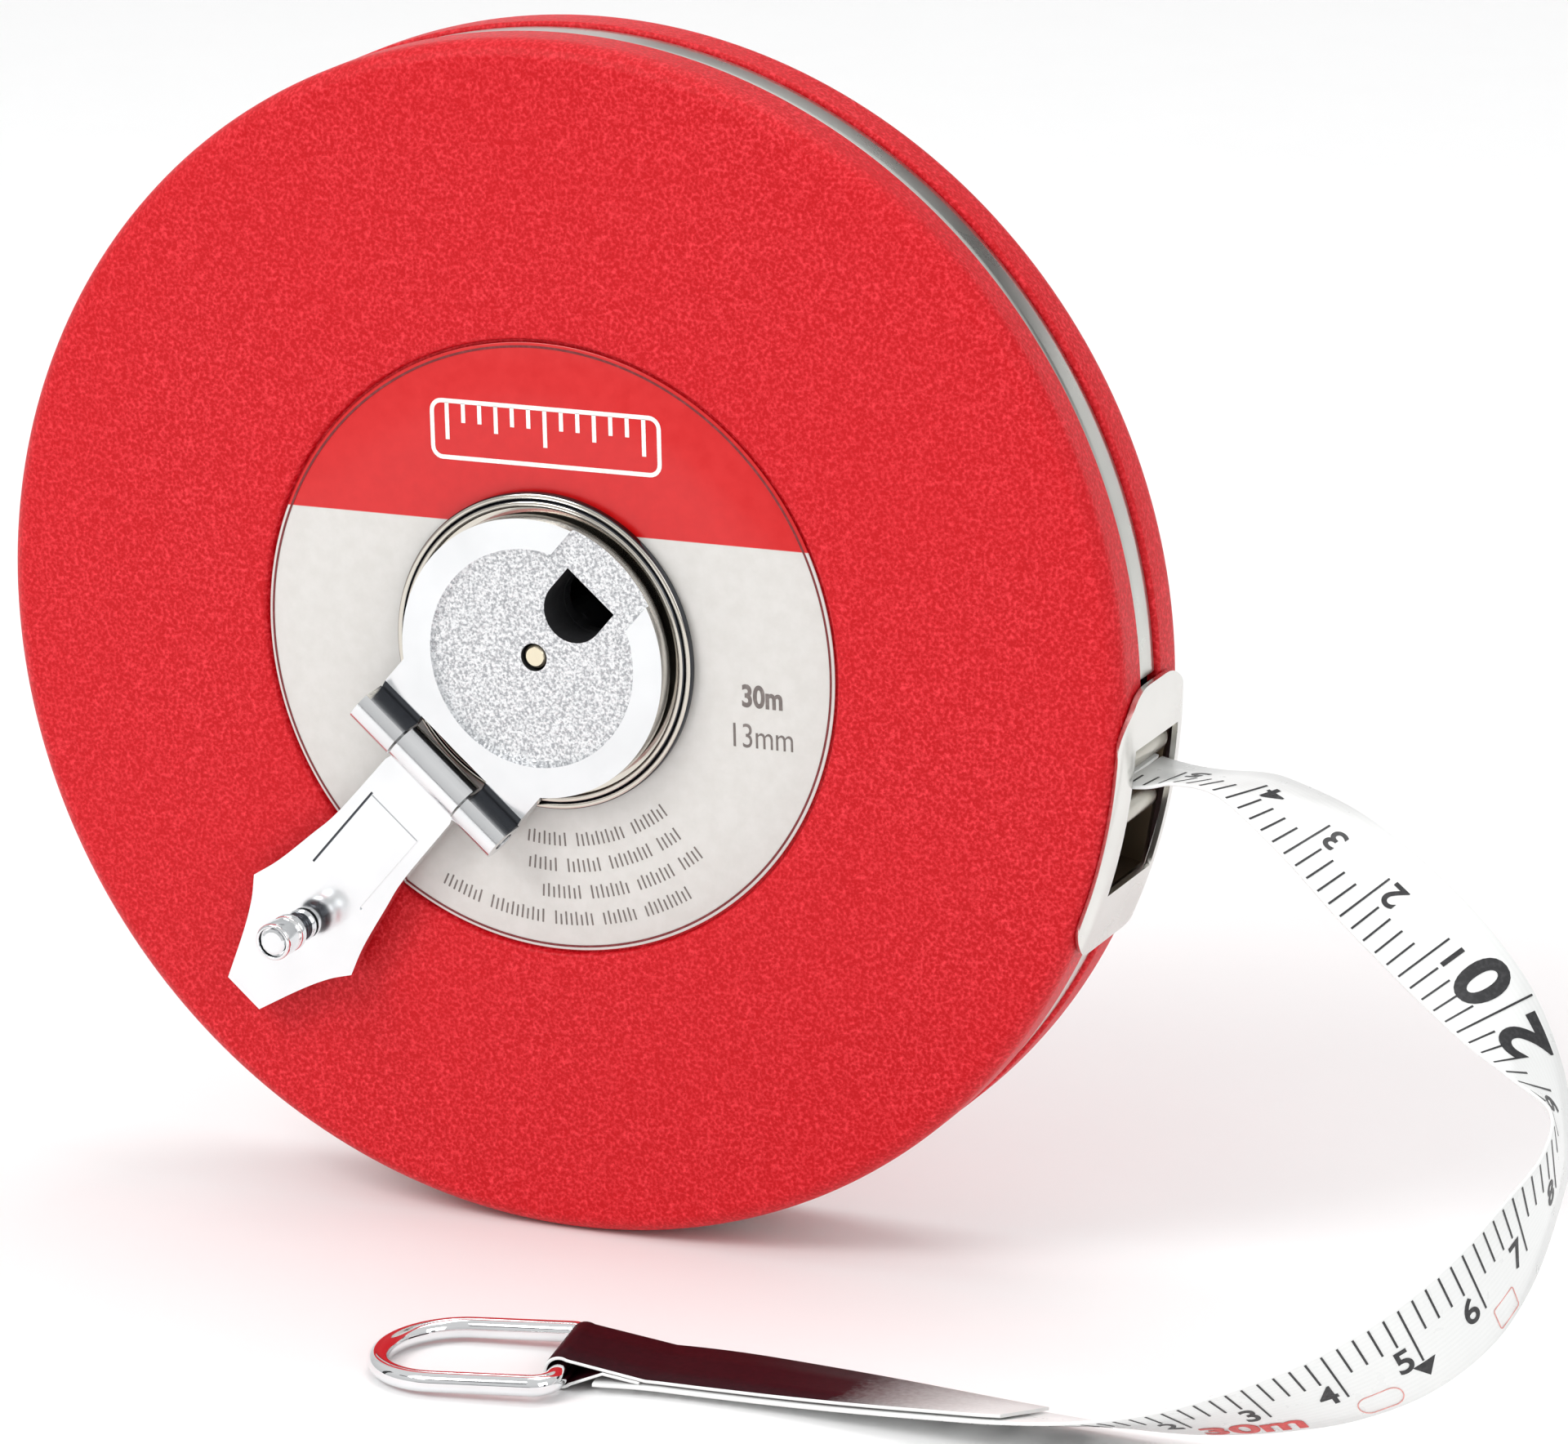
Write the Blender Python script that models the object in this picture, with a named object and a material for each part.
"""Surveyor's closed tape reel, standing on its rim with a little tape pulled out.

The round case turns on a level axle. Pieces are drawn in the case's own frame: +X to the right and
+Y up as one faces the front, +Z out of the front face, with the axle's middle at 0. An empty turns
that frame upright, so that +Z of the world is up and the front looks along -Y. The world's origin
lies under the middle of the case and its crank, on the surface that the case stands on.
"""

import math

import bmesh
import bpy
from mathutils import Matrix, Vector

MM = 0.001
CLEAR = 0.3 * MM  # between touching pieces
RIM_SIDES = 64  # flats round the case, with one of them underneath
HEAD_SIDES = 48
HIDDEN_SIDES = 32  # round the pieces inside the case
SMALL_SIDES = 24

# Case
CASE_RADIUS = 75.0 * MM
WALL = 1.6 * MM  # of the rim
FACE_WALL = 1.7 * MM
CORNER = 2.6 * MM
BAND_SHOWN = 5.4 * MM  # width of the bright band between the two shells
BAND_TONGUE = 1.4 * MM
RECESS_RADIUS = 38.5 * MM
RECESS_DEPTH = 0.9 * MM
LABEL_THICKNESS = 0.3 * MM
LABEL_GAP = 0.2 * MM  # under the label
BEZEL_WIDTH = 2.4 * MM  # outside the crank's head
BEZEL_WALL = 1.0 * MM
BEZEL_HEIGHT = 1.6 * MM  # above the label

# Tape and reel
TAPE_WIDTH = 13.0 * MM
TAPE_THICKNESS = 0.45 * MM
FLANGE_WALL = 0.8 * MM
FLANGE_PLAY = 0.5 * MM  # between the tape's edge and each flange
FLANGE_GAP = 0.5 * MM  # between each flange and the case
FLANGE_REST = 2.2 * MM  # between the flanges' edge and the mouth's frame
FLANGE_SHOWN = 2.7 * MM  # flange outside the wound tape
DRUM_RADIUS = 15.0 * MM
DRUM_WALL = 1.8 * MM
WEB = 1.6 * MM
AXLE_RADIUS = 3.0 * MM
AXLE_NOSE = 1.45 * MM
AXLE_HEAD = 6.0 * MM
HUB_WALL = 1.3 * MM
CLIP_RADIUS = 3.5 * MM
SCREW_CIRCLE = 9.3 * MM
SCREW_SHANK = 1.2 * MM
SCREW_HEAD = 2.3 * MM

# Crank, with heights above the label
CRANK_ANGLE = math.radians(228.5)  # from +X towards +Y, where the open crank points
HEAD_RADIUS = 17.5 * MM
HEAD_FLOOR = 3.8 * MM
HEAD_RIM = 4.6 * MM
HEAD_BOTTOM = 2.0 * MM
RIM_WIDTH = 3.8 * MM
TIP_GAP = 13.0 * MM  # gap in the rim that the folded tip lies in
BOSS_RADIUS = 12.6 * MM
BOSS_PLAY = 2.0 * MM  # between the head's boss and the bezel
HINGE_OUTSIDE = 3.3 * MM  # hinge's axis outside the head's edge
HINGE_HEIGHT = 4.5 * MM
CHORD_INSIDE = 0.9 * MM  # depth of the flat between the lugs
LUG_RADIUS = 2.65 * MM
LUG_INSIDE = 5.7 * MM
LUG_OUTSIDE = 12.2 * MM
LUG_STEP = 0.2 * MM  # the lugs' necks are this much smaller than what they join
BARREL_RADIUS = 2.5 * MM
PIN_RADIUS = 1.0 * MM
ARM_THICKNESS = 1.5 * MM
ARM_PANEL = 0.3 * MM
ARM_DROP = 0.35 * MM  # top of the arm below the hinge's axis
SOCKET_MIDDLE = 8.4 * MM  # past the axle, where the folded knob stands
KNOB_RADIUS = 2.35 * MM
KNOB_HEIGHT = 7.95 * MM
SPINDLE_RADIUS = 0.9 * MM
SOCKET_RADIUS = 4.0 * MM

# Mouth
MOUTH_ANGLE = math.radians(-11.7)
WINDOW_HEIGHT = 18.8 * MM
WINDOW_PLAY = 0.3 * MM  # beside each edge of the tape
PLATE_THICKNESS = 0.7 * MM
PLATE_INSET = 0.1 * MM  # plate's edge behind each face of the case
PLATE_END_WIDTH = 11.0 * MM
PLATE_HALF_ANGLE = math.radians(13.5)
PLATE_TAPER_ANGLE = math.radians(3.4)
FRAME_WALL = 1.9 * MM
FRAME_DEPTH = 4.6 * MM
ROLLER_RADIUS = 1.9 * MM
ROLLER_PIN = 0.8 * MM
ROLLER_HEADROOM = 0.6 * MM  # between the upper roller and the window's top
ROLLER_SPACING = 7.5 * MM
ROLLER_INSET = 1.5 * MM  # roller's axis behind the frame's outer face
TAPE_EXIT = 0.35 * MM  # where the inner tape ends, behind the frame's outer face

# Tape end
STRIP_MARGIN = 0.5 * MM  # tape shown beside each edge of the strip
STRIP_THICKNESS = 0.4 * MM
RING_WIRE = 1.3 * MM
RING_LENGTH = 23.3 * MM  # along the wire's middle
RING_PLAY = 3.0 * MM  # between the strip's edge and the middle of the ring's side
RING_CORNER = 2.4 * MM
RING_SHIFT = 1.5 * MM  # the ring hangs a little off the tape's middle

# The tape's free stretch, as its middle and the way its width points, from the axle's middle along
# the world's axes, in millimetres: out of the mouth, round in one open curl, and along the ground.
FREE_ROUTE = [
    ((73.6, 0.0, -10.7), (0.00, 1.00, 0.00)),
    ((76.5, -0.1, -10.9), (0.02, 1.00, -0.05)),
    ((81.0, -0.4, -10.6), (0.10, 0.98, -0.14)),
    ((86.6, -2.2, -10.0), (0.22, 0.97, -0.10)),
    ((91.0, -3.6, -10.9), (0.25, 0.97, -0.00)),
    ((99.3, -6.2, -14.5), (0.37, 0.90, 0.25)),
    ((107.1, -8.5, -19.5), (0.47, 0.78, 0.42)),
    ((114.7, -10.4, -25.0), (0.49, 0.76, 0.43)),
    ((121.8, -12.4, -30.9), (0.40, 0.88, 0.24)),
    ((127.9, -15.0, -37.1), (0.19, 0.96, -0.19)),
    ((132.5, -19.4, -42.8), (-0.08, 0.78, -0.62)),
    ((133.7, -26.7, -47.2), (-0.07, 0.56, -0.82)),
    ((132.8, -35.1, -51.1), (0.13, 0.48, -0.87)),
    ((130.4, -43.4, -55.3), (0.25, 0.44, -0.86)),
    ((125.2, -49.7, -59.7), (0.24, 0.48, -0.85)),
    ((117.6, -53.0, -63.8), (0.17, 0.61, -0.77)),
    ((108.8, -54.1, -67.2), (0.12, 0.75, -0.65)),
    ((99.6, -54.4, -69.9), (0.08, 0.86, -0.51)),
    ((89.9, -54.2, -71.6), (0.07, 0.93, -0.37)),
    ((80.0, -53.6, -72.5), (0.09, 0.96, -0.26)),
    ((70.6, -52.5, -73.1), (0.11, 0.97, -0.18)),
    ((60.6, -51.4, -73.6), (0.10, 0.99, -0.10)),
    ((50.7, -50.6, -73.95), (0.08, 1.00, -0.04)),
    ((40.8, -50.4, -74.05), (0.00, 1.00, 0.00)),
    ((32.6, -50.9, -74.05), (-0.12, 0.99, 0.00)),
    ((26.0, -52.1, -74.05), (-0.17, 0.985, 0.00)),
]
STEPS_PER_POINT = 3
STRIP_FROM = 19  # the route's point where the dark strip on the tape's back begins

# Worked out from the dimensions above
FLANGE_INNER = TAPE_WIDTH / 2 + FLANGE_PLAY
FLANGE_OUTER = FLANGE_INNER + FLANGE_WALL
INNER_FACE = FLANGE_OUTER + FLANGE_GAP
FACE = INNER_FACE + FACE_WALL
RECESS_FLOOR = FACE - RECESS_DEPTH
LABEL_TOP = RECESS_FLOOR + LABEL_GAP + LABEL_THICKNESS
SPLIT = BAND_SHOWN / 2
BEZEL_BORE = BOSS_RADIUS + BOSS_PLAY
BEZEL_RADIUS = HEAD_RADIUS + BEZEL_WIDTH
RIM_INSIDE = HEAD_RADIUS - RIM_WIDTH
CHORD_REACH = HEAD_RADIUS - CHORD_INSIDE
HINGE_REACH = HEAD_RADIUS + HINGE_OUTSIDE
HINGE_Z = LABEL_TOP + HINGE_HEIGHT
ARM_TOP = -ARM_DROP  # in the hinge's frame
ARM_BOTTOM = ARM_TOP - ARM_THICKNESS
KNOB_X = HINGE_REACH + SOCKET_MIDDLE  # from the hinge's axis
KNOB_BASE = ARM_TOP + CLEAR
KNOB_TOP = KNOB_BASE + KNOB_HEIGHT
KNOB_SWEEP = math.hypot(KNOB_X + KNOB_RADIUS, KNOB_TOP)
SOCKET_END = KNOB_SWEEP - HINGE_REACH + CLEAR
WINDOW_WIDTH = TAPE_WIDTH + 2 * WINDOW_PLAY
PLATE_WIDTH = 2 * (FACE - PLATE_INSET)
PLATE_RADIUS = CASE_RADIUS + CLEAR + PLATE_THICKNESS
UPPER_ROLLER = WINDOW_HEIGHT / 2 - ROLLER_RADIUS - ROLLER_HEADROOM  # above the window's middle
LOWER_ROLLER = UPPER_ROLLER - ROLLER_SPACING
FRAME_OUTER = math.sqrt((CASE_RADIUS + CLEAR / 2) ** 2 - (WINDOW_HEIGHT / 2 + FRAME_WALL) ** 2)
FRAME_INNER = FRAME_OUTER - FRAME_DEPTH
FLANGE_RADIUS = FRAME_INNER - FLANGE_REST
PACK_RADIUS = FLANGE_RADIUS - FLANGE_SHOWN
STRIP_WIDTH = TAPE_WIDTH - 2 * STRIP_MARGIN
RING_WIDTH = STRIP_WIDTH + 2 * RING_PLAY  # along the wire's middle
FRONT_REACH = HINGE_Z + KNOB_TOP
MIDDLE_X = (PLATE_RADIUS - CASE_RADIUS) / 2
MIDDLE_Y = (FRONT_REACH - FACE) / 2
AXLE_PLACE = Vector((-MIDDLE_X, MIDDLE_Y, CASE_RADIUS))


def material(name, colour, roughness, metallic=0.0):
    made = bpy.data.materials.new(name)
    made.use_nodes = True
    shader = made.node_tree.nodes["Principled BSDF"]
    shader.inputs["Base Color"].default_value = (*colour, 1.0)
    shader.inputs["Roughness"].default_value = roughness
    shader.inputs["Metallic"].default_value = metallic
    return made


def empty(name, place, rotation=(0, 0, 0), parent=None):
    made = bpy.data.objects.new(name, None)
    bpy.context.scene.collection.objects.link(made)
    made.location = place
    made.rotation_euler = rotation
    made.parent = parent
    return made


def piece(name, bm, finish, parent):
    """A node from a bmesh, with its faces turned outwards and its round sides shaded smooth."""
    bmesh.ops.remove_doubles(bm, verts=bm.verts, dist=1e-7)
    bmesh.ops.recalc_face_normals(bm, faces=bm.faces)
    mesh = bpy.data.meshes.new(name)
    bm.to_mesh(mesh)
    bm.free()
    mesh.shade_smooth()
    mesh.set_sharp_from_angle(angle=math.radians(35))
    mesh.materials.append(finish)
    made = bpy.data.objects.new(name, mesh)
    bpy.context.scene.collection.objects.link(made)
    made.parent = parent
    return made


def cut(target, tool, operation="DIFFERENCE"):
    """Cuts the tool from the target, or joins it to it, and hides the tool."""
    tool.hide_render = True
    tool.display_type = "WIRE"
    modifier = target.modifiers.new(tool.name, "BOOLEAN")
    modifier.operation = operation
    modifier.solver = "EXACT"
    modifier.object = tool
    return target


def turned(profile, sides=SMALL_SIDES):
    """A closed profile of (radius, height) turned about Z, with its flats on the radius."""
    bm = bmesh.new()
    flats = 1 / math.cos(math.pi / sides)
    rings = []
    for radius, height in profile:
        if radius == 0:
            rings.append([bm.verts.new((0, 0, height))] * sides)
            continue
        around = [(k + 0.5) * 2 * math.pi / sides for k in range(sides)]
        reach = radius * flats
        rings.append([bm.verts.new((reach * math.cos(a), reach * math.sin(a), height)) for a in around])
    for low, high in zip(rings, rings[1:] + rings[:1]):
        for k in range(sides):
            corners = [low[k], low[(k + 1) % sides], high[(k + 1) % sides], high[k]]
            distinct = list(dict.fromkeys(corners))
            if len(distinct) > 2:
                bm.faces.new(distinct)
    return bm


def tube(inner, outer, low, high, sides=SMALL_SIDES):
    return turned([(inner, low), (outer, low), (outer, high), (inner, high)], sides)


def rod(radius, low, high, sides=SMALL_SIDES):
    return turned([(0, low), (radius, low), (radius, high), (0, high)], sides)


def prism(outline, low, high):
    """An outline in the XY plane raised from low to high along Z."""
    bm = bmesh.new()
    bottom = [bm.verts.new((x, y, low)) for x, y in outline]
    top = [bm.verts.new((x, y, high)) for x, y in outline]
    bm.faces.new(bottom[::-1])
    bm.faces.new(top)
    for k in range(len(outline)):
        after = (k + 1) % len(outline)
        bm.faces.new([bottom[k], bottom[after], top[after], top[k]])
    return bm


def box(x, y, z):
    """A box from its lowest and highest x, y and z."""
    outline = [(x[0], y[0]), (x[1], y[0]), (x[1], y[1]), (x[0], y[1])]
    return prism(outline, z[0], z[1])


def moved(bm, matrix):
    bmesh.ops.transform(bm, matrix=matrix, verts=bm.verts)
    return bm


def about_z(angle):
    return Matrix.Rotation(angle, 4, "Z")


def across(bm):
    """Turns a shape about Z into one about Y."""
    return moved(bm, Matrix.Rotation(math.radians(-90), 4, "X"))


def tool_of(name, bm, parent):
    return piece(name, bm, finishes["steel"], parent)


def shell_profile(bore):
    """Half of the case: rim wall, rounded corner, face and the shallow recess round its middle."""
    steps = 3
    arc = []
    for k in range(steps + 1):
        turn = math.pi / 2 * k / steps
        arc.append((CASE_RADIUS - CORNER * (1 - math.sin(turn)), FACE - CORNER * (1 - math.cos(turn))))
    rim_low = SPLIT + CLEAR / 2
    return [
        (bore, INNER_FACE),
        (bore, RECESS_FLOOR),
        (RECESS_RADIUS, RECESS_FLOOR),
        (RECESS_RADIUS + 0.4 * MM, FACE - 0.25 * MM),
        (RECESS_RADIUS + 1.1 * MM, FACE),
        *arc,
        (CASE_RADIUS, rim_low),
        (CASE_RADIUS - WALL, rim_low),
        (CASE_RADIUS - WALL, INNER_FACE - 1.4 * MM),
        (CASE_RADIUS - WALL - 1.4 * MM, INNER_FACE),
    ]


def at_mouth(bm, reach, rise):
    """Carries a shape to the mouth: X out of the rim, Y up along it."""
    return moved(bm, about_z(MOUTH_ANGLE) @ Matrix.Translation((reach, rise, 0)))


def make_case(upright):
    bore = BEZEL_BORE + BEZEL_WALL + CLEAR
    front = piece("front_shell", turned(shell_profile(bore), RIM_SIDES), finishes["vinyl"], upright)
    back_bore = AXLE_RADIUS + CLEAR
    back_bm = moved(turned(shell_profile(back_bore), RIM_SIDES), Matrix.Rotation(math.pi, 4, "X"))
    back = piece("back_shell", back_bm, finishes["vinyl"], upright)

    tongue_top = CASE_RADIUS - WALL - CLEAR
    tongue = tongue_top - BAND_TONGUE
    reach = INNER_FACE - 3.0 * MM
    crown = CASE_RADIUS - 0.45 * MM
    shown = SPLIT - CLEAR / 2
    band_profile = [
        (tongue, -reach), (tongue_top, -reach), (tongue_top, -shown), (crown, -shown),
        (crown, shown), (tongue_top, shown), (tongue_top, reach), (tongue, reach),
    ]
    band = piece("rim_band", turned(band_profile, RIM_SIDES), finishes["nickel"], upright)

    half_rise = WINDOW_HEIGHT / 2 + FRAME_WALL + CLEAR
    deep = FRAME_INNER - 4 * MM
    notch = box((deep, CASE_RADIUS + 5 * MM), (-half_rise, half_rise), (-INNER_FACE, INNER_FACE))
    notch_tool = tool_of("mouth_notch", moved(notch, about_z(MOUTH_ANGLE)), upright)
    for shell in (front, back, band):
        cut(shell, notch_tool)

    label_bore = BEZEL_BORE + BEZEL_WALL + 2 * CLEAR
    label_low = LABEL_TOP - LABEL_THICKNESS
    label = tube(label_bore, RECESS_RADIUS - CLEAR, label_low, LABEL_TOP, RIM_SIDES)
    piece("front_label", label, finishes["label"], upright)

    flange_low = LABEL_TOP + CLEAR
    top = LABEL_TOP + BEZEL_HEIGHT
    bezel_outer_wall = BEZEL_BORE + BEZEL_WALL
    bead = (BEZEL_RADIUS - HEAD_RADIUS - 2 * CLEAR) / 2
    collar = HEAD_RADIUS + 2 * CLEAR
    bezel_profile = [
        (BEZEL_BORE, INNER_FACE - 0.2 * MM), (bezel_outer_wall, INNER_FACE - 0.2 * MM),
        (bezel_outer_wall, flange_low), (BEZEL_RADIUS - 0.2 * MM, flange_low),
        (BEZEL_RADIUS, flange_low + 0.3 * MM), (BEZEL_RADIUS, top - 0.7 * MM),
        (BEZEL_RADIUS - bead / 2, top - 0.25 * MM), (BEZEL_RADIUS - bead, top - 0.5 * MM),
        (collar + bead / 2, top), (collar, top - 0.35 * MM),
        (collar, flange_low + 0.6 * MM), (BEZEL_BORE, flange_low + 0.6 * MM),
    ]
    piece("bezel_ring", turned(bezel_profile, HEAD_SIDES), finishes["chrome"], upright)

    head_low = -(RECESS_FLOOR + CLEAR)
    shoulder = FLANGE_OUTER + 0.15 * MM
    nose = LABEL_TOP + HEAD_FLOOR - 0.2 * MM
    axle_profile = [
        (0, head_low - 0.5 * MM), (AXLE_HEAD - 1.0 * MM, head_low - 0.5 * MM),
        (AXLE_HEAD, head_low - 0.2 * MM), (AXLE_HEAD, head_low), (AXLE_RADIUS, head_low),
        (AXLE_RADIUS, shoulder), (AXLE_NOSE, shoulder), (AXLE_NOSE, nose - 0.3 * MM),
        (AXLE_NOSE - 0.3 * MM, nose), (0, nose),
    ]
    piece("axle", turned(axle_profile), finishes["brass"], upright)
    clip = tube(AXLE_NOSE + CLEAR, CLIP_RADIUS, shoulder + CLEAR, shoulder + CLEAR + 0.7 * MM)
    piece("axle_clip", clip, finishes["steel"], upright)


def make_reel(spool):
    """Drum, flanges, wound tape and the crank's head, which all turn together."""
    hub_bore = AXLE_RADIUS + CLEAR
    spigot = DRUM_RADIUS - 0.8 * MM
    seat = FLANGE_INNER - CLEAR
    drum_profile = [
        (hub_bore, -FLANGE_OUTER), (spigot, -FLANGE_OUTER), (spigot, -seat), (DRUM_RADIUS, -seat),
        (DRUM_RADIUS, seat), (spigot, seat), (spigot, FLANGE_OUTER), (hub_bore, FLANGE_OUTER),
    ]
    drum = piece("hub_drum", turned(drum_profile), finishes["moulding"], spool)
    cavity_top = FLANGE_OUTER - WEB
    hollow = tube(hub_bore + HUB_WALL, DRUM_RADIUS - DRUM_WALL, -cavity_top, cavity_top)
    cut(drum, tool_of("drum_hollow", hollow, spool))

    for side, name in ((1, "front_flange"), (-1, "back_flange")):
        low, high = sorted((side * FLANGE_INNER, side * FLANGE_OUTER))
        flange = tube(spigot + CLEAR, FLANGE_RADIUS, low, high, HIDDEN_SIDES)
        piece(name, flange, finishes["moulding"], spool)
    pack = tube(DRUM_RADIUS + CLEAR, PACK_RADIUS, -TAPE_WIDTH / 2, TAPE_WIDTH / 2, RIM_SIDES)
    piece("tape_pack", pack, finishes["tape"], spool)

    head = make_head(spool)
    pin_half = LUG_OUTSIDE - 0.2 * MM
    hinge_place = about_z(CRANK_ANGLE) @ Matrix.Translation((HINGE_REACH, 0, HINGE_Z))
    pin = moved(across(rod(PIN_RADIUS, -pin_half, pin_half, 16)), hinge_place)
    piece("hinge_pin", pin, finishes["steel"], spool)

    boss_low = FLANGE_OUTER + CLEAR
    screw_end = LABEL_TOP + HEAD_BOTTOM - 0.6 * MM
    for number, turn in enumerate((0, 100, -100), start=1):
        spoke = about_z(CRANK_ANGLE + math.radians(turn)) @ Matrix.Translation((SCREW_CIRCLE, 0, 0))
        head_high = cavity_top - CLEAR
        screw_profile = [
            (0, head_high - 1.2 * MM), (SCREW_HEAD, head_high - 1.2 * MM), (SCREW_HEAD, head_high),
            (SCREW_SHANK, head_high), (SCREW_SHANK, screw_end), (0, screw_end),
        ]
        screw = moved(turned(screw_profile, 16), spoke)
        piece(f"head_screw_{number}", screw, finishes["steel"], spool)
        hole = moved(rod(SCREW_SHANK + CLEAR, cavity_top - 1 * MM, screw_end + CLEAR, 16), spoke)
        hole_tool = tool_of(f"screw_hole_{number}", hole, spool)
        cut(drum, hole_tool)
        cut(head, hole_tool)
        access = moved(rod(SCREW_HEAD + CLEAR, -FLANGE_OUTER - 1 * MM, -cavity_top + 1 * MM, 16), spoke)
        cut(drum, tool_of(f"screw_access_{number}", access, spool))

    socket = tool_of("knob_socket", knob_socket(cavity_top - 1 * MM, HINGE_Z + 2 * MM), spool)
    cut(drum, socket)
    cut(head, socket)
    relief = rod(CLIP_RADIUS + CLEAR, boss_low - 1 * MM, boss_low + 1.9 * MM)
    cut(head, tool_of("clip_relief", relief, spool))
    centre_hole = rod(AXLE_NOSE + CLEAR, boss_low - 1 * MM, HINGE_Z + 1 * MM)
    cut(head, tool_of("centre_hole", centre_hole, spool))


def knob_socket(low, high):
    """The D-shaped hole that the folded knob stands in, round towards the axle."""
    steps = 8
    outline = [(SOCKET_END, -SOCKET_RADIUS), (SOCKET_END, SOCKET_RADIUS)]
    for k in range(steps + 1):
        turn = math.pi / 2 + math.pi * k / steps
        x = SOCKET_MIDDLE + SOCKET_RADIUS * math.cos(turn)
        outline.append((x, SOCKET_RADIUS * math.sin(turn)))
    return moved(prism(outline, low, high), about_z(CRANK_ANGLE + math.pi))


def make_head(spool):
    """The crank's round head: a dished disc with a raised C-shaped rim and two hinge lugs."""
    bottom = LABEL_TOP + HEAD_BOTTOM
    floor = LABEL_TOP + HEAD_FLOOR
    rim = LABEL_TOP + HEAD_RIM
    boss_low = FLANGE_OUTER + CLEAR
    out = about_z(CRANK_ANGLE)
    head_profile = [
        (0, boss_low), (BOSS_RADIUS, boss_low), (BOSS_RADIUS, bottom),
        (HEAD_RADIUS - 0.3 * MM, bottom), (HEAD_RADIUS, bottom + 0.4 * MM),
        (HEAD_RADIUS, rim - 0.5 * MM), (HEAD_RADIUS - 0.6 * MM, rim), (0, rim),
    ]
    head = piece("crank_head", turned(head_profile, HEAD_SIDES), finishes["chrome"], spool)
    for side, name in ((1, "lug_left"), (-1, "lug_right")):
        low, high = sorted((side * (LUG_INSIDE - 1 * MM), side * (LUG_OUTSIDE - LUG_STEP)))
        neck = box((RIM_INSIDE - 3 * MM, HINGE_REACH), (low, high), (bottom + LUG_STEP, rim - LUG_STEP))
        neck = moved(neck, out)
        cut(head, tool_of(name + "_neck", neck, spool), "UNION")
        low, high = sorted((side * (LUG_INSIDE - 1 * MM), side * LUG_OUTSIDE))
        eye = moved(across(rod(LUG_RADIUS, low, high)), Matrix.Translation((HINGE_REACH, 0, HINGE_Z)))
        cut(head, tool_of(name + "_eye", moved(eye, out), spool), "UNION")
    under = box((BOSS_RADIUS + 1 * MM, HINGE_REACH + 9 * MM), (-LUG_OUTSIDE * 2, LUG_OUTSIDE * 2),
                (bottom - 6 * MM, bottom + LUG_STEP / 2))
    cut(head, tool_of("lug_underside", moved(under, out), spool))
    between = box((CHORD_REACH, HINGE_REACH + 9 * MM), (-LUG_INSIDE, LUG_INSIDE),
                  (bottom - 5 * MM, HINGE_Z + 9 * MM))
    cut(head, tool_of("lug_gap", moved(between, out), spool))
    dish = rod(RIM_INSIDE, floor, rim + 1 * MM, HEAD_SIDES)
    cut(head, tool_of("head_dish", dish, spool))
    tip = box((-HEAD_RADIUS - 5 * MM, -RIM_INSIDE + 3 * MM), (-TIP_GAP / 2, TIP_GAP / 2),
              (floor, rim + 1 * MM))
    cut(head, tool_of("tip_gap", moved(tip, out), spool))
    bore = rod(PIN_RADIUS + CLEAR, -LUG_OUTSIDE - 2 * MM, LUG_OUTSIDE + 2 * MM, 16)
    bore = moved(across(bore), Matrix.Translation((HINGE_REACH, 0, HINGE_Z)))
    cut(head, tool_of("lug_bore", moved(bore, out), spool))
    return head


def make_arm(hinge):
    """The folding arm with its barrel, drawn from the hinge's axis outwards along X."""
    barrel_half = LUG_INSIDE - CLEAR
    from_knob = [(-15.0, 5.9), (-10.0, 6.6), (-4.0, 7.6), (0.2, 8.8), (3.0, 7.0), (7.0, 5.2), (13.5, 2.85)]
    right_half = [
        (1.4 * MM, barrel_half), (LUG_RADIUS + CLEAR, barrel_half), (4.0 * MM, barrel_half + CLEAR),
        *((KNOB_X + x * MM, y * MM) for x, y in from_knob),
    ]
    outline = [(x, -y) for x, y in right_half] + right_half[::-1]
    arm = piece("crank_arm", prism(outline, ARM_BOTTOM, ARM_TOP), finishes["chrome"], hinge)
    barrel = across(rod(BARREL_RADIUS, -barrel_half, barrel_half))
    cut(arm, tool_of("arm_barrel", barrel, hinge), "UNION")
    panel = box((9.0 * MM, KNOB_X - 7.7 * MM), (-4.0 * MM, 4.0 * MM),
                (ARM_TOP - 0.5 * MM, ARM_TOP + ARM_PANEL))
    cut(arm, tool_of("arm_panel", panel, hinge), "UNION")
    bore = across(rod(PIN_RADIUS + CLEAR, -barrel_half - 2 * MM, barrel_half + 2 * MM, 16))
    cut(arm, tool_of("barrel_bore", bore, hinge))
    knob_hole = moved(rod(SPINDLE_RADIUS + CLEAR, ARM_BOTTOM - 1 * MM, ARM_TOP + 1 * MM, 16),
                      Matrix.Translation((KNOB_X, 0, 0)))
    cut(arm, tool_of("knob_hole", knob_hole, hinge))


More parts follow.
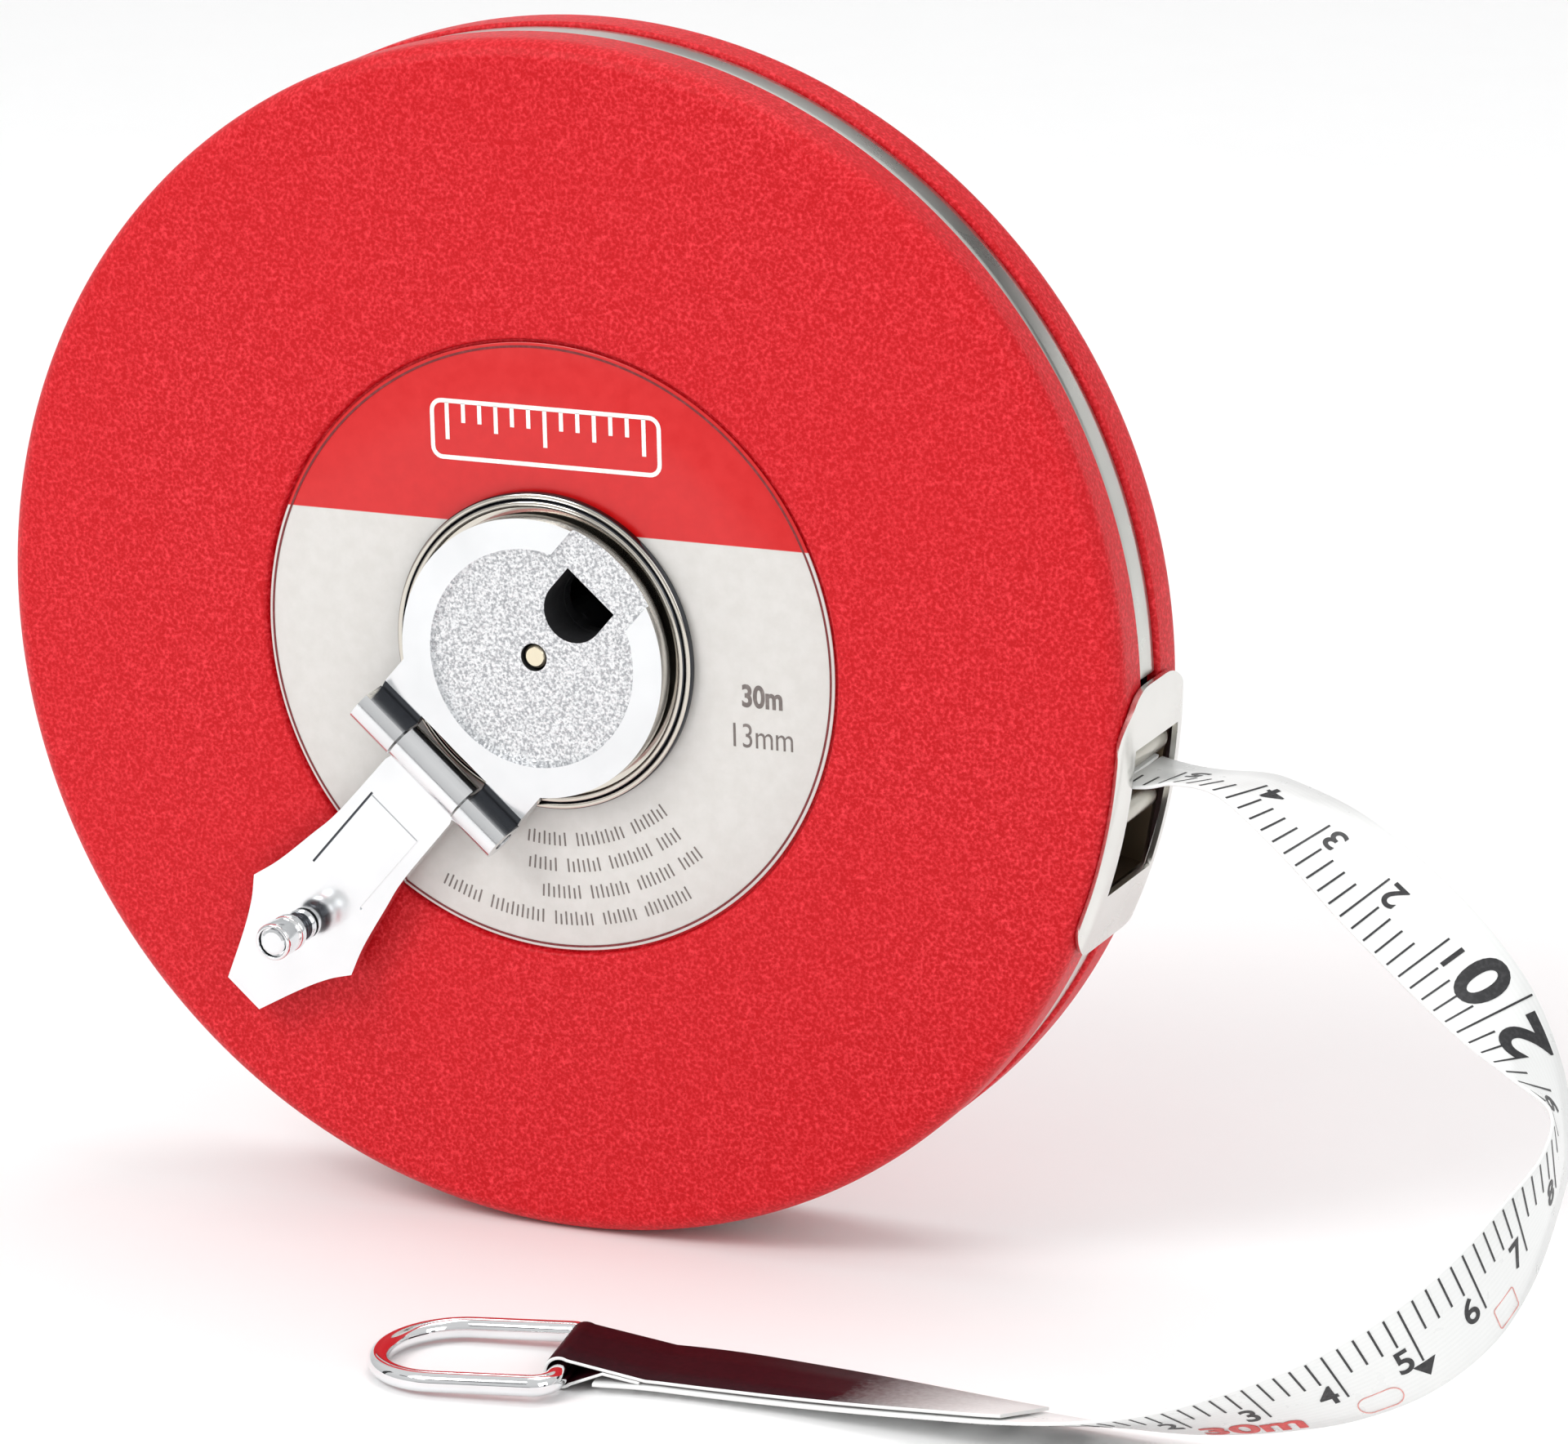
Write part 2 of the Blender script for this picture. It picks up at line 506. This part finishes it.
def make_knob(hinge, turning):
    back = ARM_BOTTOM - CLEAR
    spindle_profile = [
        (0, back - 0.5 * MM), (1.3 * MM, back - 0.5 * MM), (1.8 * MM, back - 0.2 * MM),
        (1.8 * MM, back), (SPINDLE_RADIUS, back), (SPINDLE_RADIUS, KNOB_TOP - 0.5 * MM),
        (1.6 * MM, KNOB_TOP - 0.5 * MM), (1.6 * MM, KNOB_TOP - 0.2 * MM), (1.3 * MM, KNOB_TOP - 0.1 * MM),
        (0, KNOB_TOP - 0.1 * MM),
    ]
    spindle = moved(turned(spindle_profile, 16), Matrix.Translation((KNOB_X, 0, 0)))
    piece("knob_spindle", spindle, finishes["steel"], hinge)
    bore = SPINDLE_RADIUS + CLEAR
    end_recess = 1.6 * MM + CLEAR
    waist = 0.68 * KNOB_RADIUS
    knob_profile = [
        (bore, 0), (0.85 * KNOB_RADIUS, 0), (0.85 * KNOB_RADIUS, 0.8 * MM), (waist, 1.2 * MM),
        (waist, 2.8 * MM), (KNOB_RADIUS, 3.4 * MM), (KNOB_RADIUS, 4.3 * MM),
        (0.86 * KNOB_RADIUS, 4.6 * MM), (0.86 * KNOB_RADIUS, 4.9 * MM), (KNOB_RADIUS, 5.2 * MM),
        (KNOB_RADIUS, KNOB_HEIGHT - 0.3 * MM), (KNOB_RADIUS - 0.2 * MM, KNOB_HEIGHT),
        (end_recess, KNOB_HEIGHT), (end_recess, KNOB_HEIGHT - 0.8 * MM), (bore, KNOB_HEIGHT - 0.8 * MM),
    ]
    piece("knob", turned(knob_profile), finishes["chrome"], turning)


def plate_radius(width):
    """How far the mouth plate's outer skin is from the axle at this distance off the middle."""
    flat = FACE - CORNER
    bend = CORNER + CLEAR + PLATE_THICKNESS
    if abs(width) <= flat:
        return PLATE_RADIUS
    return PLATE_RADIUS - bend + math.sqrt(bend ** 2 - (abs(width) - flat) ** 2)


def make_mouth_plate(upright):
    """A nickel plate wrapped over the rim, narrower at its two ends, with a window for the tape."""
    window_turn = WINDOW_HEIGHT / 2 / PLATE_RADIUS
    ends = PLATE_HALF_ANGLE - PLATE_TAPER_ANGLE
    turns = [-PLATE_HALF_ANGLE, -PLATE_HALF_ANGLE + PLATE_TAPER_ANGLE / 2, -ends, -window_turn]
    turns += [window_turn * k / 3 for k in (-2, -1, 0, 1, 2)]
    turns += [window_turn, ends, PLATE_HALF_ANGLE - PLATE_TAPER_ANGLE / 2, PLATE_HALF_ANGLE]
    edge = WINDOW_WIDTH / 2
    shares = [-1, -0.9, -0.8, -0.4, 0, 0.4, 0.8, 0.9, 1]
    bm = bmesh.new()
    rows = []
    for turn in turns:
        past = max(0.0, (abs(turn) - ends) / PLATE_TAPER_ANGLE)
        half = (PLATE_WIDTH + (PLATE_END_WIDTH - PLATE_WIDTH) * past) / 2
        row = []
        for share in shares:
            inside = abs(share) <= 0.8
            reach = abs(share) / 0.8 * min(edge, 0.8 * half)
            outside = min(edge, 0.8 * half) + (abs(share) - 0.8) / 0.2 * (half - min(edge, 0.8 * half))
            width = math.copysign(reach if inside else outside, share)
            radius = plate_radius(width)
            row.append(bm.verts.new((radius * math.cos(turn), radius * math.sin(turn), width)))
        rows.append(row)
    for k in range(len(rows) - 1):
        for j in range(len(shares) - 1):
            in_rows = 3 <= k < len(rows) - 4
            in_window = in_rows and 2 <= j < len(shares) - 3
            if not in_window:
                bm.faces.new([rows[k][j], rows[k][j + 1], rows[k + 1][j + 1], rows[k + 1][j]])
    moved(bm, about_z(MOUTH_ANGLE))
    bmesh.ops.recalc_face_normals(bm, faces=bm.faces)
    outwards = Vector((math.cos(MOUTH_ANGLE), math.sin(MOUTH_ANGLE), 0))
    if sum(face.normal.dot(outwards) for face in bm.faces) < 0:
        bmesh.ops.reverse_faces(bm, faces=bm.faces)
    mesh = bpy.data.meshes.new("mouth_plate")
    bm.to_mesh(mesh)
    bm.free()
    mesh.materials.append(finishes["nickel"])
    plate = bpy.data.objects.new("mouth_plate", mesh)
    bpy.context.scene.collection.objects.link(plate)
    plate.parent = upright
    skin = plate.modifiers.new("skin", "SOLIDIFY")
    skin.thickness = PLATE_THICKNESS
    skin.offset = -1
    skin.use_even_offset = False


def make_mouth(upright, roller_empties):
    make_mouth_plate(upright)
    half_rise = WINDOW_HEIGHT / 2 + FRAME_WALL
    cheek = INNER_FACE - CLEAR
    channel = WINDOW_WIDTH / 2
    block = box((FRAME_INNER, FRAME_OUTER), (-half_rise, half_rise), (-cheek, cheek))
    frame = piece("mouth_frame", moved(block, about_z(MOUTH_ANGLE)), finishes["nickel"], upright)
    passage = box((FRAME_INNER - 3 * MM, FRAME_OUTER + 3 * MM),
                  (-WINDOW_HEIGHT / 2, WINDOW_HEIGHT / 2), (-channel, channel))
    cut(frame, tool_of("mouth_passage", moved(passage, about_z(MOUTH_ANGLE)), upright))
    roller_reach = FRAME_OUTER - ROLLER_INSET
    for name, rise in (("upper", UPPER_ROLLER), ("lower", LOWER_ROLLER)):
        pin = at_mouth(rod(ROLLER_PIN, -cheek, cheek, 12), roller_reach, rise)
        piece(f"{name}_roller_pin", pin, finishes["steel"], upright)
        bore = at_mouth(rod(ROLLER_PIN + CLEAR, -cheek - 1 * MM, cheek + 1 * MM, 12), roller_reach, rise)
        cut(frame, tool_of(f"{name}_pin_bore", bore, upright))
        half = channel - CLEAR
        roller = tube(ROLLER_PIN + CLEAR, ROLLER_RADIUS, -half, half, 20)
        piece(f"{name}_roller", roller, finishes["nickel"], roller_empties[name])


def smooth(points, steps):
    """Points on a Catmull-Rom curve through the given ones, with steps to each stretch."""
    padded = [2 * points[0] - points[1], *points, 2 * points[-1] - points[-2]]
    found = []
    for a, b, c, d in zip(padded, padded[1:], padded[2:], padded[3:]):
        for k in range(steps):
            t = k / steps
            spread = 2 * a - 5 * b + 4 * c - d
            last = 3 * b - a - 3 * c + d
            found.append((2 * b + (c - a) * t + spread * t ** 2 + last * t ** 3) / 2)
    found.append(points[-1].copy())
    return found


def frames_along(middles, widths):
    """(middle, width direction, normal) at each point of a ribbon."""
    frames = []
    for k, middle in enumerate(middles):
        along = (middles[min(k + 1, len(middles) - 1)] - middles[max(k - 1, 0)]).normalized()
        width = (widths[k] - along * widths[k].dot(along)).normalized()
        frames.append((middle, width, along.cross(width)))
    return frames


def ribbon(frames, width, thickness, lift=0.0):
    """A flat strip along the frames, lifted off their middle along the normal."""
    bm = bmesh.new()
    rows = []
    for middle, side, normal in frames:
        low = middle + normal * (lift - thickness / 2)
        high = middle + normal * (lift + thickness / 2)
        reach = side * width / 2
        rows.append([bm.verts.new(p) for p in (low - reach, low + reach, high + reach, high - reach)])
    for a, b in zip(rows, rows[1:]):
        for k in range(4):
            bm.faces.new([a[k], a[(k + 1) % 4], b[(k + 1) % 4], b[k]])
    bm.faces.new(rows[0][::-1])
    bm.faces.new(rows[-1])
    return bm


def make_inner_run(upright):
    """The tape from the top of its pack down behind the upper roller and out between the two."""
    lay = PACK_RADIUS + CLEAR + TAPE_THICKNESS / 2
    roller_reach = FRAME_OUTER - ROLLER_INSET
    roller = about_z(MOUTH_ANGLE) @ Vector((roller_reach, UPPER_ROLLER, 0))
    wrap = ROLLER_RADIUS + CLEAR + TAPE_THICKNESS / 2
    leaves = math.atan2(roller.y, roller.x) + math.acos((lay + wrap) / roller.length)
    points = []
    for k in range(4):
        turn = leaves + math.radians(4) * (3 - k)
        points.append(lay * Vector((math.cos(turn), math.sin(turn), 0)))
    meets = leaves + math.pi
    parts_away = MOUTH_ANGLE + 1.5 * math.pi
    steps = 5
    for k in range(steps + 1):
        turn = meets + (parts_away - meets) * k / steps
        points.append(roller + wrap * Vector((math.cos(turn), math.sin(turn), 0)))
    points.append(about_z(MOUTH_ANGLE) @ Vector((FRAME_OUTER - TAPE_EXIT, UPPER_ROLLER - wrap, 0)))
    frames = frames_along(points, [Vector((0, 0, 1))] * len(points))
    piece("inner_tape", ribbon(frames, TAPE_WIDTH, TAPE_THICKNESS), finishes["tape"], upright)


def make_free_tape(level):
    middles = smooth([Vector(middle) * MM for middle, _ in FREE_ROUTE], STEPS_PER_POINT)
    widths = smooth([Vector(width) for _, width in FREE_ROUTE], STEPS_PER_POINT)
    frames = frames_along(middles, widths)
    piece("free_tape", ribbon(frames, TAPE_WIDTH, TAPE_THICKNESS), finishes["tape"], level)

    bar, along, side = ring_bar()
    rise = (TAPE_THICKNESS + STRIP_THICKNESS) / 2 + CLEAR
    strip = []
    for middle, width, normal in frames[STRIP_FROM * STEPS_PER_POINT:-3]:
        up = normal if normal.z > 0 else -normal
        strip.append((middle + up * rise, width, up))
    up = Vector((0, 0, 1))
    wrap = RING_WIRE + CLEAR + STRIP_THICKNESS / 2
    ground = STRIP_THICKNESS / 2 - CASE_RADIUS + 0.02 * MM
    turns = [math.radians(a) for a in range(120, -91, -30)]
    for turn in turns:
        out = along * math.cos(turn) + up * math.sin(turn)
        strip.append((bar + out * wrap, side, out))
    low_end = Vector((bar.x, bar.y, ground))
    for back in (3, 6, 9, 12):
        strip.append((low_end - along * back * MM, side, -up))
    piece("end_strip", ribbon(strip, STRIP_WIDTH, STRIP_THICKNESS), finishes["strip"], level)


def ring_bar():
    """The middle of the ring's bar, the way on from the tape, and the way along the bar."""
    last = Vector(FREE_ROUTE[-1][0]) * MM
    side = Vector(FREE_ROUTE[-1][1])
    side.z = 0
    side.normalize()
    along = side.cross(Vector((0, 0, 1)))
    if along.x > 0:
        along = -along
    wrap = RING_WIRE + CLEAR + STRIP_THICKNESS
    height = wrap - CASE_RADIUS + 0.02 * MM
    bar = last + along * (wrap + 2 * MM)
    bar.z = height
    return bar, along, side


def make_ring(swing):
    """A wire ring with a straight bar on its hinge line and a round far end, drawn along +X."""
    half = RING_WIDTH / 2
    corner = RING_CORNER
    path = []
    for k in range(5):
        turn = math.pi / 2 * k / 4
        path.append((corner - corner * math.cos(turn), -half + corner - corner * math.sin(turn)))
    for k in range(17):
        turn = -math.pi / 2 + math.pi * k / 16
        path.append((RING_LENGTH - half + half * math.cos(turn), half * math.sin(turn)))
    for k in range(5):
        turn = math.pi / 2 * k / 4
        path.append((corner - corner * math.sin(turn), half - corner + corner * math.cos(turn)))
    bm = bmesh.new()
    rows = []
    sides = 8
    for k, here in enumerate(path):
        before, after = path[k - 1], path[(k + 1) % len(path)]
        along = Vector((after[0] - before[0], after[1] - before[1], 0)).normalized()
        out = Vector((along.y, -along.x, 0))
        row = []
        for j in range(sides):
            turn = 2 * math.pi * (j + 0.5) / sides
            offset = out * math.cos(turn) + Vector((0, 0, 1)) * math.sin(turn)
            row.append(bm.verts.new(Vector((here[0], here[1] + RING_SHIFT, 0)) + offset * RING_WIRE))
        rows.append(row)
    for a, b in zip(rows, rows[1:] + rows[:1]):
        for j in range(sides):
            bm.faces.new([a[j], a[(j + 1) % sides], b[(j + 1) % sides], b[j]])
    piece("end_ring", bm, finishes["chrome"], swing)


for old in list(bpy.data.objects):
    bpy.data.objects.remove(old)

finishes = {
    "vinyl": material("red_vinyl", (0.76, 0.025, 0.03), 0.5),
    "nickel": material("nickel_plate", (0.62, 0.60, 0.55), 0.28, 1.0),
    "chrome": material("chrome_plate", (0.78, 0.79, 0.80), 0.12, 1.0),
    "brass": material("brass", (0.80, 0.68, 0.45), 0.3, 1.0),
    "steel": material("zinc_steel", (0.55, 0.56, 0.57), 0.35, 1.0),
    "moulding": material("black_moulding", (0.03, 0.03, 0.032), 0.5),
    "label": material("printed_label", (0.78, 0.76, 0.73), 0.4),
    "tape": material("white_tape", (0.85, 0.86, 0.85), 0.4),
    "strip": material("dark_strip", (0.10, 0.01, 0.02), 0.45),
}

quarter = math.pi / 2
level = empty("axle_level", AXLE_PLACE)
upright = empty("case_frame", AXLE_PLACE, (quarter, 0, 0))
spool = empty("reel_axis", (0, 0, 0), parent=upright)
out_x, out_y = math.cos(CRANK_ANGLE), math.sin(CRANK_ANGLE)
hinge = empty("arm_hinge", (HINGE_REACH * out_x, HINGE_REACH * out_y, HINGE_Z), (0, 0, CRANK_ANGLE), spool)
turning = empty("knob_axis", (KNOB_X, 0, KNOB_BASE), parent=hinge)
roller_empties = {}
for roller_name, roller_rise in (("upper", UPPER_ROLLER), ("lower", LOWER_ROLLER)):
    roller_place = about_z(MOUTH_ANGLE) @ Vector((FRAME_OUTER - ROLLER_INSET, roller_rise, 0))
    roller_empties[roller_name] = empty(roller_name + "_roller_axis", roller_place, parent=upright)
bar_place, ring_way, _ = ring_bar()
ring_heading = math.atan2(ring_way.y, ring_way.x)
ring_tilt = math.asin((bar_place.z + CASE_RADIUS - RING_WIRE) / RING_LENGTH)
swing = empty("ring_hinge", bar_place, (0, ring_tilt, ring_heading), level)

make_case(upright)
make_reel(spool)
make_arm(hinge)
make_knob(hinge, turning)
make_mouth(upright, roller_empties)
make_inner_run(upright)
make_free_tape(level)
make_ring(swing)
bpy.context.view_layer.update()
